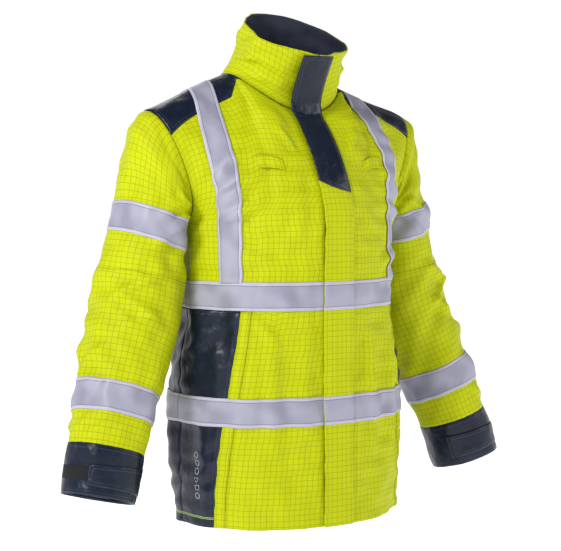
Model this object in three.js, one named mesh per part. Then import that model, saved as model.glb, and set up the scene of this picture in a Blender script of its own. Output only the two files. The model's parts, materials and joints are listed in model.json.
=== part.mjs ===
// High-visibility waterproof parka: shell, lining, tapes, flaps, zip, sleeves and cuffs.
// Millimetres, +Z up. The wearer faces -Y and the wearer's left is +X.
// The origin is the hanging loop inside the back of the neck.
import * as THREE from 'three';
import { mergeVertices } from 'three/addons/utils/BufferGeometryUtils.js';

// ---------------------------------------------------------------- driving sizes (mm)
const LOOP_HEIGHT = 772;        // hanging loop above the hem
const LOOP_Y = 80;              // hanging loop behind the body's centre line
const ARMPIT = 522;             // height of the armpit above the hem
const TOP = 772;                // end of the torso's own v coordinate: neck and shoulder seam
const SIDE = 90;                // angle of the side seam from the centre front, degrees
const BODY_Y = 5;               // centre of the torso rings
const NECK_SHARE = 0.4;         // share of each quarter that ends on the neck instead of the shoulder
const NECK = { width: 116, depth: 74, y: 12, front: 715, side: 773, back: 790 };
const SHOULDER = { x: 272, y: 22, h: 715 };
const COLLAR = { width: 98, depth: 78, y: -35, h: 855, tilt: 41, lean: 5, bow: 5, open: 3 };
const COLLAR_RISE = 100;        // length of the throat's v coordinate up the collar
const CHEST_LOOP = { u: 34, v: 618, strap: 16, across: 38, depth: 6, wall: 1.2, off: 7.2 };
const HANGER = { strap: 8, across: 60, depth: 9, wall: 1.6 };
const TAPE = 50;                // width of the reflective tape round body and sleeves
const BRACE = 45;               // width of the reflective tape over the shoulders
const WAIST = 367;              // lower edge of the waist tape
const HIP = 166;                // lower edge of the hip tape
const FLAP = { free: -31, sewn: 32, lift: 5, thick: 1.8 };
const CHEVRON = { free: 608, sewn: 584 };
const ZIP = { bottom: 8, top: 520, edge: 5.5 };
const WELT = 20;                // width of the pocket welt
const SEAM = 1.4;               // gap kept between two pieces that meet in a seam

// Offsets from the shell's outer face: inner face, outer face.
const SHELL = [-1.2, 0];
const LINING = [-7.4, -6.2];
const ONTOP = [1.4, 2.2];
const BRACE_LAYER = [2.6, 3.4];
const POCKET = [-3.6, -2.4];

// Torso rings: height, half width, front depth, back depth, roundness exponent.
const TORSO_RINGS = [
  [0, 212, 178, 141, 2.3],
  [190, 221, 178, 146, 2.3],
  [392, 199, 178, 138, 2.25],
  [522, 206, 178, 136, 2.2],
];

// Sleeve axis: distance down the sleeve, x, y, height, half width across, half width front to back.
const SLEEVE_AXIS = [
  [0, 258, 30, 533, 63, 84],
  [150, 289, 26, 383, 78, 81],
  [325, 352, -8, 208, 70, 70],
  [402, 378, -23, 132, 66, 66],
  [483, 400, -34, 52, 64, 64],
];
const SLEEVE_PRESS = { start: 0.78, end: 150 };   // flattening where the sleeve lies on the body

// Centre lines of the shoulder tapes: height on the chest, angle from the centre front.
const BRACE_LINES = {
  left: [[417, 50], [520, 51], [610, 57], [657, 56], [695, 51], [772, 48]],
  right: [[417, -58], [520, -59], [610, -61], [657, -62], [695, -61], [772, -55]],
};
const CAP = 180;                // nominal length of the sleeve head above the axis' first point
const ELBOW = { start: 108, end: 242 };
const LOWER_BAND = 300;         // upper edge of the lower sleeve tape, down the sleeve
const CUFF_START = 402;
const CUFF_END = 483;
const TAB = { sewn: -55, free: 50 };   // cuff tab, degrees round the cuff
const TAB_SEWN_EDGES = [22, 68];       // the tab's two edges, down the cuff, at its sewn end
const TAB_FREE_EDGES = [30, 64];
const TAB_PATCH = { from: 3, to: 58, edges: [34, 56] };
const PANEL_BACK = 32;          // degrees of the side panel behind the side seam
const POCKET_MOUTH = [110, 300];

// ---------------------------------------------------------------- colours
const YELLOW = { color: 0xd6ef1c, roughness: 0.75, metalness: 0 };
const NAVY = { color: 0x1b2640, roughness: 0.45, metalness: 0 };
const SILVER = { color: 0xb9b8c9, roughness: 0.5, metalness: 0 };
const BLACK = { color: 0x15161a, roughness: 0.9, metalness: 0 };
const LININGS = { color: 0x1d2436, roughness: 0.8, metalness: 0 };
const BRASS = { color: 0xb08d4a, roughness: 0.35, metalness: 1 };

// ---------------------------------------------------------------- small maths
const rad = THREE.MathUtils.degToRad;
const lerp = THREE.MathUtils.lerp;
const vec = (x, y, z) => new THREE.Vector3(x, y, z);
const ease = (t) => t * t * (3 - 2 * t);
const steps = (n) => Array.from({ length: n + 1 }, (_, i) => i / n);

/** Smooth curve through the rows of a table, every column at once. */
function track(rows, s) {
  const last = rows.length - 1;
  let i = 0;
  while (i < last - 1 && s > rows[i + 1][0]) i += 1;
  const [a, b] = [rows[i], rows[i + 1]];
  const before = rows[Math.max(i - 1, 0)];
  const after = rows[Math.min(i + 2, last)];
  const span = b[0] - a[0];
  const t = (s - a[0]) / span;
  return a.slice(1).map((start, k) => {
    const end = b[k + 1];
    const m0 = span * (end - before[k + 1]) / (b[0] - before[0]);
    const m1 = span * (after[k + 1] - start) / (after[0] - a[0]);
    const t2 = t * t;
    const t3 = t2 * t;
    return (2 * t3 - 3 * t2 + 1) * start + (t3 - 2 * t2 + t) * m0
      + (3 * t2 - 2 * t3) * end + (t3 - t2) * m1;
  });
}

function bezier(p0, p1, p2, p3, t) {
  const s = 1 - t;
  return p0.clone().multiplyScalar(s * s * s)
    .addScaledVector(p1, 3 * s * s * t)
    .addScaledVector(p2, 3 * s * t * t)
    .addScaledVector(p3, t * t * t);
}

// ---------------------------------------------------------------- torso surface
/** Point of a horizontal torso ring at an angle of 0 (centre front) to 180 (centre back). */
function ringPoint(angle, h) {
  const [width, front, back, power] = track(TORSO_RINGS, h);
  const sine = Math.sin(rad(angle));
  const cosine = Math.cos(rad(angle));
  const depth = cosine >= 0 ? front : back;
  const inverse = (Math.abs(sine) / width) ** power + (Math.abs(cosine) / depth) ** power;
  const r = inverse ** (-1 / power);
  return vec(r * sine, BODY_Y - r * cosine, h);
}

/** Upper edge of the torso: the neck oval, then the shoulder seam. share runs 0 to 1. */
function upperEdge(share, front) {
  if (share <= NECK_SHARE) {
    const angle = rad(90 * share / NECK_SHARE);
    const rise = front ? NECK.front - NECK.side : NECK.back - NECK.side;
    const forward = front ? -1 : 1;
    return vec(
      NECK.width * Math.sin(angle),
      NECK.y + forward * NECK.depth * Math.cos(angle),
      NECK.side + rise * Math.cos(angle) ** 2,
    );
  }
  const f = (share - NECK_SHARE) / (1 - NECK_SHARE);
  return vec(
    lerp(NECK.width, SHOULDER.x, f),
    lerp(NECK.y, SHOULDER.y, f),
    lerp(NECK.side, SHOULDER.h, f),
  );
}

/** Direction and length in which a column of the cloth reaches the upper edge. */
function arrival(share, front) {
  const centre = front ? vec(0, 56, 50) : vec(0, -42, 88);
  const neckSide = front ? vec(0, 76, 16) : vec(0, -82, 16);
  const tip = front ? vec(2, 86, 3) : vec(2, -92, 3);
  if (share <= NECK_SHARE) return centre.lerp(neckSide, ease(share / NECK_SHARE));
  return neckSide.lerp(tip, (share - NECK_SHARE) / (1 - NECK_SHARE));
}

/** Torso surface. u: degrees from the centre front, + to the wearer's left. v: height, then
 *  distance up the chest to the neck or shoulder; past TOP it goes on down the back. */
function torso(u, v) {
  const side = Math.sign(u) || 1;
  let angle = Math.abs(u);
  let height = v;
  if (v > TOP) {
    angle = 180 - angle;
    height = 2 * TOP - v;
  }
  const mirror = (p) => p.setX(p.x * side);
  if (height <= ARMPIT) return mirror(ringPoint(angle, height));
  const front = angle <= 90;
  const share = (front ? angle : 180 - angle) / 90;
  const t = (height - ARMPIT) / (TOP - ARMPIT);
  const start = ringPoint(angle, ARMPIT);
  const end = upperEdge(share, front);
  const straight = front ? vec(0, 0, 56) : vec(0, 4, 95);
  const round = front ? vec(-3, -78, 10) : vec(-3, 96, 10);
  const leave = straight.lerp(round, share ** 4);
  return mirror(bezier(start, start.clone().add(leave), end.clone().sub(arrival(share, front)), end, t));
}

/** u of the point with the given x on the front of the torso, at v. */
function frontAngle(x, v) {
  let low = -89;
  let high = 89;
  for (let i = 0; i < 30; i += 1) {
    const mid = (low + high) / 2;
    if (torso(mid, v).x < x) low = mid;
    else high = mid;
  }
  return low;
}

// ---------------------------------------------------------------- collar surface
/** Collar surface. u: degrees round the neck from the centre front. v: 0 seam, 1 top edge. */
function collar(u, v) {
  const side = Math.sign(u) || 1;
  const angle = Math.abs(u);
  const front = angle <= 90;
  const seam = upperEdge(NECK_SHARE * (front ? angle : 180 - angle) / 90, front);
  const top = vec(
    COLLAR.width * Math.sin(rad(angle)),
    COLLAR.y - COLLAR.depth * Math.cos(rad(angle)),
    COLLAR.h - COLLAR.tilt * Math.cos(rad(angle)) - COLLAR.lean * Math.sin(rad(angle)) * side,
  );
  const p = seam.lerp(top, v);
  const bow = COLLAR.bow * Math.sin(Math.PI * v);
  p.y += bow * Math.cos(rad(angle));
  p.x -= bow * Math.sin(rad(angle)) * 0.6;
  return p.setX(p.x * side);
}

// ---------------------------------------------------------------- sleeve surface (wearer's left)
function sleeveFrame(v) {
  const [x, y, h, across, deep] = track(SLEEVE_AXIS, v);
  const [x0, y0, h0] = track(SLEEVE_AXIS, v - 1);
  const [x1, y1, h1] = track(SLEEVE_AXIS, v + 1);
  const down = vec(x1 - x0, y1 - y0, h1 - h0).normalize();
  const out = vec(0, -1, 0).cross(down).normalize();
  const forward = down.clone().cross(out).normalize();
  return { centre: vec(x, y, h), down, out, forward, across, deep };
}

function sleeveRing(u, v) {
  const f = sleeveFrame(v);
  const sine = Math.sin(rad(u));
  const press = sine < 0 ? lerp(SLEEVE_PRESS.start, 1, ease(Math.min(v / SLEEVE_PRESS.end, 1))) : 1;
  return f.centre.clone()
    .addScaledVector(f.out, f.across * press * sine)
    .addScaledVector(f.forward, f.deep * Math.cos(rad(u)));
}

/** Sleeve surface. u: 0 front, 90 outside, 180 back, 270 body side. v: -CAP armhole, 0 to CUFF_END. */
function sleeve(u, v) {
  if (v >= 0) return sleeveRing(u, v);
  const turn = ((u + 90) % 360 + 360) % 360;
  const front = turn <= 180;
  const along = (front ? turn : 360 - turn) / 180;
  const seam = torso(front ? 89.99 : 90.01, lerp(ARMPIT, TOP, along));
  const ring = sleeveRing(u, 0);
  const reach = seam.distanceTo(ring);
  const leave = vec(0.93, 0, -0.3).multiplyScalar(reach * 0.24);
  const meet = sleeveFrame(0).down.multiplyScalar(reach * 0.42);
  return bezier(seam, seam.clone().add(leave), ring.clone().sub(meet), ring, 1 + v / CAP);
}

// ---------------------------------------------------------------- patches
/** Outward normal of a surface, kept inside the surface's own limits. */
function normalAt(surface, u, v, range) {
  const du = 0.4;
  const dv = (range.v1 - range.v0) * 0.002;
  const u0 = Math.max(u - du, range.u0 ?? -Infinity);
  const u1 = Math.min(u + du, range.u1 ?? Infinity);
  const v0 = Math.max(v - dv, range.v0);
  const v1 = Math.min(v + dv, range.v1);
  const across = surface(u1, v).sub(surface(u0, v));
  const along = surface(u, v1).sub(surface(u, v0));
  return across.cross(along).multiplyScalar(range.sign ?? 1).normalize();
}

/** Closed thin solid over a grid of a surface. place(q, r) gives u and v for q, r in 0 to 1. */
function sheet(surface, range, qs, rs, place, [inner, outer], ring = false) {
  const columns = ring ? qs.slice(0, -1) : qs;
  const points = [];
  for (const level of [outer, inner]) {
    for (const r of rs) {
      for (const q of columns) {
        const [u, v] = place(q, r);
        const p = surface(u, v);
        points.push(p.addScaledVector(normalAt(surface, u, v, range), level));
      }
    }
  }
  const nq = columns.length;
  const nr = rs.length;
  const at = (layer, i, j) => layer * nq * nr + j * nq + (i % nq);
  const faces = [];
  const quad = (a, b, c, d) => faces.push(a, b, c, a, c, d);
  const cells = ring ? nq : nq - 1;
  for (let j = 0; j < nr - 1; j += 1) {
    for (let i = 0; i < cells; i += 1) {
      quad(at(0, i, j), at(0, i + 1, j), at(0, i + 1, j + 1), at(0, i, j + 1));
      quad(at(1, i, j), at(1, i, j + 1), at(1, i + 1, j + 1), at(1, i + 1, j));
    }
  }
  for (let i = 0; i < cells; i += 1) {
    quad(at(0, i, 0), at(1, i, 0), at(1, i + 1, 0), at(0, i + 1, 0));
    quad(at(0, i + 1, nr - 1), at(1, i + 1, nr - 1), at(1, i, nr - 1), at(0, i, nr - 1));
  }
  if (!ring) {
    for (let j = 0; j < nr - 1; j += 1) {
      quad(at(0, 0, j + 1), at(1, 0, j + 1), at(1, 0, j), at(0, 0, j));
      quad(at(0, nq - 1, j), at(1, nq - 1, j), at(1, nq - 1, j + 1), at(0, nq - 1, j + 1));
    }
  }
  return solid(points, faces);
}

/** Indexed geometry with its faces turned outward. */
function solid(points, faces) {
  let volume = 0;
  for (let i = 0; i < faces.length; i += 3) {
    const [a, b, c] = [points[faces[i]], points[faces[i + 1]], points[faces[i + 2]]];
    volume += a.dot(b.clone().cross(c));
  }
  const turned = volume > 0 ? faces : faces.slice().reverse();
  const geometry = new THREE.BufferGeometry();
  geometry.setAttribute('position', new THREE.Float32BufferAttribute(points.flatMap((p) => p.toArray()), 3));
  geometry.setIndex(turned);
  geometry.computeVertexNormals();
  return geometry;
}

/** The same solid on the wearer's other side. */
function mirrored(geometry) {
  const copy = geometry.clone().scale(-1, 1, 1);
  copy.setIndex(Array.from(geometry.index.array).reverse());
  return copy;
}

const FRONT_RANGE = { u0: -89.9, u1: 89.9, v0: 0, v1: TOP };
const BACK_RANGE = { u0: 90.1, u1: 269.9, v0: 0, v1: TOP };
const ROUND_RANGE = { v0: 0, v1: ARMPIT };
const OVER_RANGE = { u0: -89.9, u1: 89.9, v0: 0, v1: 2 * TOP };
const COLLAR_RANGE = { u0: COLLAR.open, u1: 360 - COLLAR.open, v0: 0, v1: 1 };
const SLEEVE_RANGE = { v0: -CAP, v1: CUFF_END, sign: -1 };

/** Torso and collar at angles past 180 degrees, so that a patch can run across the back. */
const wrap = (surface) => (u, v) => surface(u > 180 ? u - 360 : u, v);
const torsoRound = wrap(torso);
const collarRound = wrap(collar);

/** Patch of the torso between two borders u(v), from v0 to v1(u or number). */
function torsoPatch(left, right, v0, v1, columns, rows, layers, range = FRONT_RANGE) {
  const top = typeof v1 === 'function' ? v1 : () => v1;
  const place = (q, r) => {
    const guess = lerp(left(v0), right(v0), q);
    const v = lerp(v0, top(guess), r);
    return [lerp(left(v), right(v), q), v];
  };
  return sheet(torsoRound, range, steps(columns), steps(rows), place, layers);
}

// ---------------------------------------------------------------- borders on the torso
const angleGap = (mm) => THREE.MathUtils.radToDeg(mm / 200);
const sideEdge = () => SIDE - angleGap(SEAM / 2);
/** Front border of the dark side panel on the wearer's left. */
function panelBorder(v) {
  const t = Math.min(v / WAIST, 1);
  return lerp(67.5, 54.5, (ease(t) + t) / 2);
}
/** Front border of the pocket welt, a strip along the panel's border. */
const weltBorder = (v) => panelBorder(v) - angleGap(WELT);
/** Lower edge of the shoulder yoke on the chest: lowest at the armhole and level at the neck. */
function yokeEdge(u) {
  const share = Math.min(Math.max((Math.abs(u) / SIDE - NECK_SHARE) / (1 - NECK_SHARE), 0), 1);
  return TOP - lerp(58, 78, share ** 2);
}
const YOKE_INNER = 43;          // angle of the yoke's edge beside the neck
const YOKE_GAP = 2;
const PANEL_END = 89.8;         // angle at which the chest and the back end, beside the armhole
/** Angles of the chest's inner columns; the two close ones frame the step beside the yoke. */
const CHEST_COLUMNS = [11, 21, 31, YOKE_INNER - 1.2, YOKE_INNER - 0.4, 52, 62, 72, 81];
const group = new THREE.Group();

function add(name, geometry, look) {
  const mesh = new THREE.Mesh(geometry, new THREE.MeshStandardMaterial(look));
  mesh.name = name;
  mesh.position.set(0, -LOOP_Y, -LOOP_HEIGHT);
  group.add(mesh);
}

/** Adds a solid on the wearer's left and its mirror image on the right. */
function addPair(name, geometry, look) {
  add(`left_${name}`, geometry, look);
  add(`right_${name}`, mirrored(geometry), look);
}

// ---------------------------------------------------------------- body shell
const zipEdge = (v) => frontAngle(ZIP.edge, v);

function addBody() {
  const belowWaist = WAIST + TAPE / 2 - SEAM / 2;
  const aboveWaist = WAIST + TAPE / 2 + SEAM / 2;
  addPair('front_skirt', torsoPatch(zipEdge, weltBorder, 0, belowWaist, 5, 6, SHELL), YELLOW);
  addPair('pocket_welt', torsoPatch(
    (v) => weltBorder(v) + angleGap(SEAM),
    (v) => panelBorder(v) - angleGap(SEAM),
    0, WAIST - SEAM, 2, 6, SHELL,
  ), YELLOW);
  addPair('side_panel_front', torsoPatch(panelBorder, sideEdge, 0, WAIST - SEAM, 3, 6, SHELL), NAVY);
  addPair('side_panel_back', torsoPatch(
    () => SIDE + angleGap(SEAM / 2),
    () => SIDE + PANEL_BACK,
    0, WAIST - SEAM, 3, 6, SHELL, ROUND_RANGE,
  ), NAVY);
  add('lower_back', torsoPatch(
    () => SIDE + PANEL_BACK + angleGap(SEAM),
    () => 270 - PANEL_BACK - angleGap(SEAM),
    0, belowWaist, 10, 6, SHELL, ROUND_RANGE,
  ), YELLOW);
  const first = zipEdge(aboveWaist);
  const columns = CHEST_COLUMNS.map((u) => (u - first) / (PANEL_END - first));
  const chest = (q, r) => {
    const guess = lerp(first, PANEL_END, q);
    const v = lerp(aboveWaist, chestTop(guess), r);
    return [lerp(zipEdge(v), PANEL_END, q), v];
  };
  addPair('chest', sheet(torsoRound, FRONT_RANGE, [0, ...columns, 1], steps(11), chest, SHELL), YELLOW);
  const angles = [PANEL_END, ...CHEST_COLUMNS.slice().reverse(), 0];
  const half = angles.map((u) => (PANEL_END - u) / (2 * PANEL_END));
  const whole = [...half, ...half.slice(0, -1).reverse().map((q) => 1 - q)];
  const back = (q, r) => {
    const u = lerp(180 - PANEL_END, 180 + PANEL_END, q);
    return [u, lerp(aboveWaist, chestTop(180 - u), r)];
  };
  add('upper_back', sheet(torsoRound, BACK_RANGE, whole, steps(11), back, SHELL), YELLOW);
  addPair('shoulder_yoke', sheet(torsoRound, OVER_RANGE, steps(6), steps(8), (q, r) => {
    const u = lerp(YOKE_INNER, PANEL_END, q);
    const v = lerp(yokeEdge(u), 2 * TOP - yokeEdge(u), r);
    return [u, v];
  }, SHELL), NAVY);
  add('body_lining', sheet(
    torsoRound, ROUND_RANGE, steps(24), steps(6),
    (q, r) => [lerp(-180, 180, q), lerp(12, ARMPIT - 6, r)], LINING, true,
  ), LININGS);
}

/** Upper border of a chest or back panel: the yoke's edge outside, the neck seam inside. */
function chestTop(u) {
  return Math.abs(u) > YOKE_INNER - 1 ? yokeEdge(u) - YOKE_GAP : TOP - SEAM;
}

addBody();

// ---------------------------------------------------------------- collar
function addCollar() {
  const round = (q, r) => [lerp(COLLAR.open, 360 - COLLAR.open, q), lerp(0.025, 1, r)];
  add('collar_outer', sheet(collarRound, COLLAR_RANGE, steps(24), steps(3), round, SHELL), YELLOW);
  add('collar_lining', sheet(collarRound, COLLAR_RANGE, steps(24), steps(3), round, POCKET), LININGS);
}

addCollar();

// ---------------------------------------------------------------- centre front flaps
function addFlaps() {
  const layers = [FLAP.lift, FLAP.lift + FLAP.thick];
  const flapTop = (x) => lerp(CHEVRON.free, CHEVRON.sewn, (x - FLAP.free) / (FLAP.sewn - FLAP.free));
  const lower = (q, r) => {
    const x = lerp(FLAP.free, FLAP.sewn, q);
    const v = lerp(0, flapTop(x) - SEAM, r);
    return [frontAngle(x, v), v];
  };
  add('storm_flap', sheet(torsoRound, FRONT_RANGE, steps(3), steps(14), lower, layers), YELLOW);
  const upper = (q, r) => {
    const x = lerp(FLAP.free, FLAP.sewn, q);
    const v = lerp(flapTop(x) + SEAM, TOP + COLLAR_RISE - 2, r);
    return [x, v];
  };
  const throatRange = { v0: 0, v1: TOP + COLLAR_RISE };
  add('throat_flap', sheet(throat, throatRange, steps(3), steps(12), upper, layers), NAVY);
}

/** Chest and collar front as one surface of x and v; past TOP it climbs the collar. */
function throat(x, v) {
  if (v <= TOP) return torso(frontAngle(x, v), v);
  const rise = (v - TOP) / COLLAR_RISE;
  const p = collar(0.01, rise);
  const half = lerp(NECK.width, COLLAR.width, rise);
  const depth = lerp(NECK.depth, COLLAR.depth, rise);
  p.y += depth * (1 - Math.sqrt(1 - (x / half) ** 2));
  return p.setX(x);
}

addFlaps();

// ---------------------------------------------------------------- reflective tapes
function addTapes() {
  const free = (v) => frontAngle(FLAP.free - 3, v);
  const sewn = (v) => frontAngle(FLAP.sewn + 3, v);
  for (const [place, bottom] of [['waist', WAIST], ['hip', HIP]]) {
    const band = (left, right, columns, range) => (
      torsoPatch(left, right, bottom, bottom + TAPE, columns, 2, ONTOP, range)
    );
    add(`${place}_tape_left`, band(sewn, () => SIDE - 0.2, 8), SILVER);
    add(`${place}_tape_right`, band(() => -SIDE + 0.2, free, 8), SILVER);
    add(`${place}_tape_back`, band(() => 90.2, () => 269.8, 18, ROUND_RANGE), SILVER);
    const strip = (q, r) => {
      const v = lerp(bottom, bottom + TAPE, r);
      return [frontAngle(lerp(FLAP.free + 0.5, FLAP.sewn - 3, q), v), v];
    };
    const level = FLAP.lift + FLAP.thick;
    const onFlap = [level + 0.6, level + 1.4];
    add(`${place}_tape_flap`, sheet(torsoRound, FRONT_RANGE, steps(2), steps(2), strip, onFlap), SILVER);
  }
  const start = WAIST + TAPE + SEAM;
  for (const side of ['left', 'right']) {
    const over = (q, r) => {
      const v = lerp(start, 2 * TOP - start, r);
      const [middle] = track(BRACE_LINES[side], v > TOP ? 2 * TOP - v : v);
      const perDegree = torso(middle + 0.5, v).distanceTo(torso(middle - 0.5, v));
      return [middle + (q - 0.5) * BRACE / perDegree, v];
    };
    add(`${side}_brace_tape`, sheet(torsoRound, OVER_RANGE, steps(3), steps(30), over, BRACE_LAYER), SILVER);
  }
}

addTapes();

// ---------------------------------------------------------------- zip
/** Straight bar with a given outline in x and y, standing on the zip's lower end. */
function upright(outline, height, bottom) {
  const geometry = new THREE.ExtrudeGeometry(
    new THREE.Shape(outline.map(([x, y]) => new THREE.Vector2(x, y))),
    { depth: height, bevelEnabled: false },
  );
  return geometry.translate(0, 0, bottom);
}

function addZip() {
  const face = BODY_Y - TORSO_RINGS[0][2];
  const half = [
    [1.2, face - 0.6], [4.2, face - 0.6], [4.2, face + 2], [16, face + 2],
    [16, face + 3], [1.2, face + 3],
  ];
  const turned = half.map(([x, y]) => [-x, y]).reverse();
  add('left_zip_half', upright(half, ZIP.top - ZIP.bottom, ZIP.bottom), BLACK);
  add('right_zip_half', upright(turned, ZIP.top - ZIP.bottom, ZIP.bottom), BLACK);
  const slider = [
    [-5.5, face - 2.4], [5.5, face - 2.4], [5.5, face - 1], [0.8, face - 1],
    [0.8, face + 3.5], [5.5, face + 3.5], [5.5, face + 4.7], [-5.5, face + 4.7],
    [-5.5, face + 3.5], [-0.8, face + 3.5], [-0.8, face - 1], [-5.5, face - 1],
  ];
  add('zip_slider', upright(slider, 16, ZIP.top - 40), BRASS);
  const pull = [[-4, face - 4], [4, face - 4], [4, face - 2.8], [-4, face - 2.8]];
  add('zip_pull', upright(pull, 34, ZIP.top - 66), BRASS);
}

addZip();

// ---------------------------------------------------------------- loops, pockets, fastening strips
/** Flat rectangular loop: a band standing off the cloth, closed to a ring. */
function loopRing({ strap, across, depth, wall }) {
  const shape = new THREE.Shape();
  shape.moveTo(-depth / 2, -across / 2);
  shape.lineTo(depth / 2, -across / 2);
  shape.lineTo(depth / 2, across / 2);
  shape.lineTo(-depth / 2, across / 2);
  const hole = new THREE.Path();
  hole.moveTo(-depth / 2 + wall, -across / 2 + wall);
  hole.lineTo(-depth / 2 + wall, across / 2 - wall);
  hole.lineTo(depth / 2 - wall, across / 2 - wall);
  hole.lineTo(depth / 2 - wall, -across / 2 + wall);
  shape.holes.push(hole);
  const geometry = new THREE.ExtrudeGeometry(shape, { depth: strap, bevelEnabled: false });
  geometry.deleteAttribute('normal');
  geometry.deleteAttribute('uv');
  return mergeVertices(geometry.translate(0, 0, -strap / 2));
}

/** Strip of the storm flap's fastening, between two x on the right front. */
function fasteningStrip(layers) {
  const place = (q, r) => {
    const v = lerp(20, ZIP.top, r);
    return [frontAngle(lerp(FLAP.free + 3, FLAP.free + 20, q), v), v];
  };
  return sheet(torsoRound, FRONT_RANGE, steps(2), steps(6), place, layers);
}

function addTrim() {
  add('flap_hook_strip', fasteningStrip([FLAP.lift - 2.2, FLAP.lift - 1]), BLACK);
  add('flap_loop_strip', fasteningStrip([0.6, 1.8]), BLACK);
  addPair('pocket_bag', torsoPatch(
    (v) => weltBorder(v) - 28, (v) => panelBorder(v) + 2, ...POCKET_MOUTH, 5, 3, POCKET,
  ), LININGS);
  // Chest loops stand on the chest under the collar, with their openings up and down.
  const { u, v, off } = CHEST_LOOP;
  const seat = torso(u, v);
  const out = normalAt(torso, u, v, FRONT_RANGE);
  const across = vec(0, 0, 1).cross(out).normalize();
  const loop = loopRing(CHEST_LOOP);
  loop.applyMatrix4(new THREE.Matrix4().makeBasis(out, across, out.clone().cross(across)));
  loop.translate(...seat.addScaledVector(out, off));
  addPair('chest_loop', loop, YELLOW);
  const hanger = loopRing(HANGER);
  hanger.rotateZ(Math.PI / 2);
  hanger.translate(0, LOOP_Y, LOOP_HEIGHT);
  add('hanging_loop', hanger, BLACK);
}

addTrim();

// ---------------------------------------------------------------- sleeves
function sleevePart(v0, v1, rows, layers, columns = 16) {
  return sheet(
    sleeve, SLEEVE_RANGE, steps(columns), steps(rows),
    (q, r) => [lerp(0, 360, q), lerp(v0, v1, r)], layers, true,
  );
}

function addSleeves() {
  addPair('sleeve_cap', sleevePart(-CAP + 3, -SEAM, 8, SHELL), YELLOW);
  addPair('upper_sleeve', sleevePart(SEAM, ELBOW.start, 4, SHELL), YELLOW);
  addPair('elbow', sleevePart(ELBOW.start + SEAM, ELBOW.end - SEAM, 5, SHELL), YELLOW);
  addPair('forearm', sleevePart(ELBOW.end, CUFF_START - SEAM, 6, SHELL), YELLOW);
  addPair('cuff', sleevePart(CUFF_START + SEAM, CUFF_END, 3, [-1.2, 0.4]), NAVY);
  addPair('upper_sleeve_tape', sleevePart(SEAM, TAPE, 2, ONTOP), SILVER);
  addPair('lower_sleeve_tape', sleevePart(LOWER_BAND, LOWER_BAND + TAPE, 2, ONTOP), SILVER);
  const tab = (q, r) => {
    const [upper, lower] = [0, 1].map((i) => lerp(TAB_SEWN_EDGES[i], TAB_FREE_EDGES[i], q));
    return [lerp(TAB.sewn, TAB.free, q), CUFF_START + lerp(upper, lower, r)];
  };
  addPair('cuff_tab', sheet(sleeve, SLEEVE_RANGE, steps(7), steps(1), tab, [1.8, 3.4]), NAVY);
  const patch = (q, r) => [
    TAB.free + lerp(TAB_PATCH.from, TAB_PATCH.to, q),
    CUFF_START + lerp(...TAB_PATCH.edges, r),
  ];
  addPair('cuff_loop_patch', sheet(sleeve, SLEEVE_RANGE, steps(4), steps(1), patch, [1.6, 2.8]), BLACK);
}

addSleeves();

export default group;
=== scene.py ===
"""High-visibility waterproof parka, filled out as on an invisible form."""

import json
import math

import bpy
import numpy as np
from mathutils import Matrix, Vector

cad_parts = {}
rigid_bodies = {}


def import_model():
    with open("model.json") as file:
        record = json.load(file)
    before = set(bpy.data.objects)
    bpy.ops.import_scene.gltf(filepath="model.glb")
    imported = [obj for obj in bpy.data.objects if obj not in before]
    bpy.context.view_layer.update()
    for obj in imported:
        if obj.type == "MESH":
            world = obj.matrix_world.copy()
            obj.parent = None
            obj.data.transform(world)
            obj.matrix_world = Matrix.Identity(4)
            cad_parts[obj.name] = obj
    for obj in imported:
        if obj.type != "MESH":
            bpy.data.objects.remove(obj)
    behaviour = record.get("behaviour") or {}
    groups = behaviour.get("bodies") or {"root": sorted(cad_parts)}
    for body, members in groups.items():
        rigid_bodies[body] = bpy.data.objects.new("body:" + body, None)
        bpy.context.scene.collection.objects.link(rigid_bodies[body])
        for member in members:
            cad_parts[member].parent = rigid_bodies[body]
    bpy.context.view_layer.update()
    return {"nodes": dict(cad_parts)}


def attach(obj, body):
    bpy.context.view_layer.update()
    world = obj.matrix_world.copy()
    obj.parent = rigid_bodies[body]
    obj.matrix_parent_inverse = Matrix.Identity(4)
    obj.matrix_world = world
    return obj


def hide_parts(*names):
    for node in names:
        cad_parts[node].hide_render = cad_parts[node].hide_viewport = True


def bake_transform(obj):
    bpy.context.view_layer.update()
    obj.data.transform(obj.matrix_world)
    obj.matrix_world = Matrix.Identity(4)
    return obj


# ------------------------------ driving sizes (mm, above the hem)
LOOP_HEIGHT, LOOP_Y = 772, 80          # the frame's origin, the hanging loop
ARMPIT, TOP = 522, 772                 # torso v at the armpit, and at the neck and shoulder seam
BODY_Y = 5
NECK_SHARE = 0.4
NECK = dict(width=116, depth=74, y=12, front=715, side=773, back=790)
SHOULDER = np.array([272, 22, 715.0])
COLLAR = dict(width=98, depth=78, y=-35, h=855, tilt=41, lean=5, open=0.6, bow=5)
TAPE, BRACE = 50, 45                   # widths of the reflective tapes
WAIST, HIP = 367, 166                  # lower edges of the tapes round the body
FLAP_FREE, FLAP_SEWN, FLAP_LIFT = -31, 32, 5
CHEVRON_FREE, CHEVRON_SEWN = 608, 584
CAP, CUFF_START, CUFF_END = 180, 402, 483   # head of the sleeve above its axis, ends of the cuff
LOWER_BAND = 300                       # upper edge of the forearm's tape, down the sleeve
ELBOW_START = 108
YOKE_INNER, YOKE_NECK = 43, 25         # angles of the yoke's edge on the chest and at the neck
ARMHOLE = 89.8                         # angle at which a front panel ends at the armhole
WELT = 20                              # width of the pocket welt
HEM = -14                              # the hem hangs a little below the height of the driving sizes
COLLAR_RUN = 100                       # how much v the collar takes above TOP on the centre front
NECK_SLOPE, SLOPE_SPAN = 9, 250        # rise of the neck's right side, and half the wave's length
SLEEVE_MM, TORSO_MM = 1.22, 3.4        # cloth per degree round a sleeve and round the chest
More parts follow.
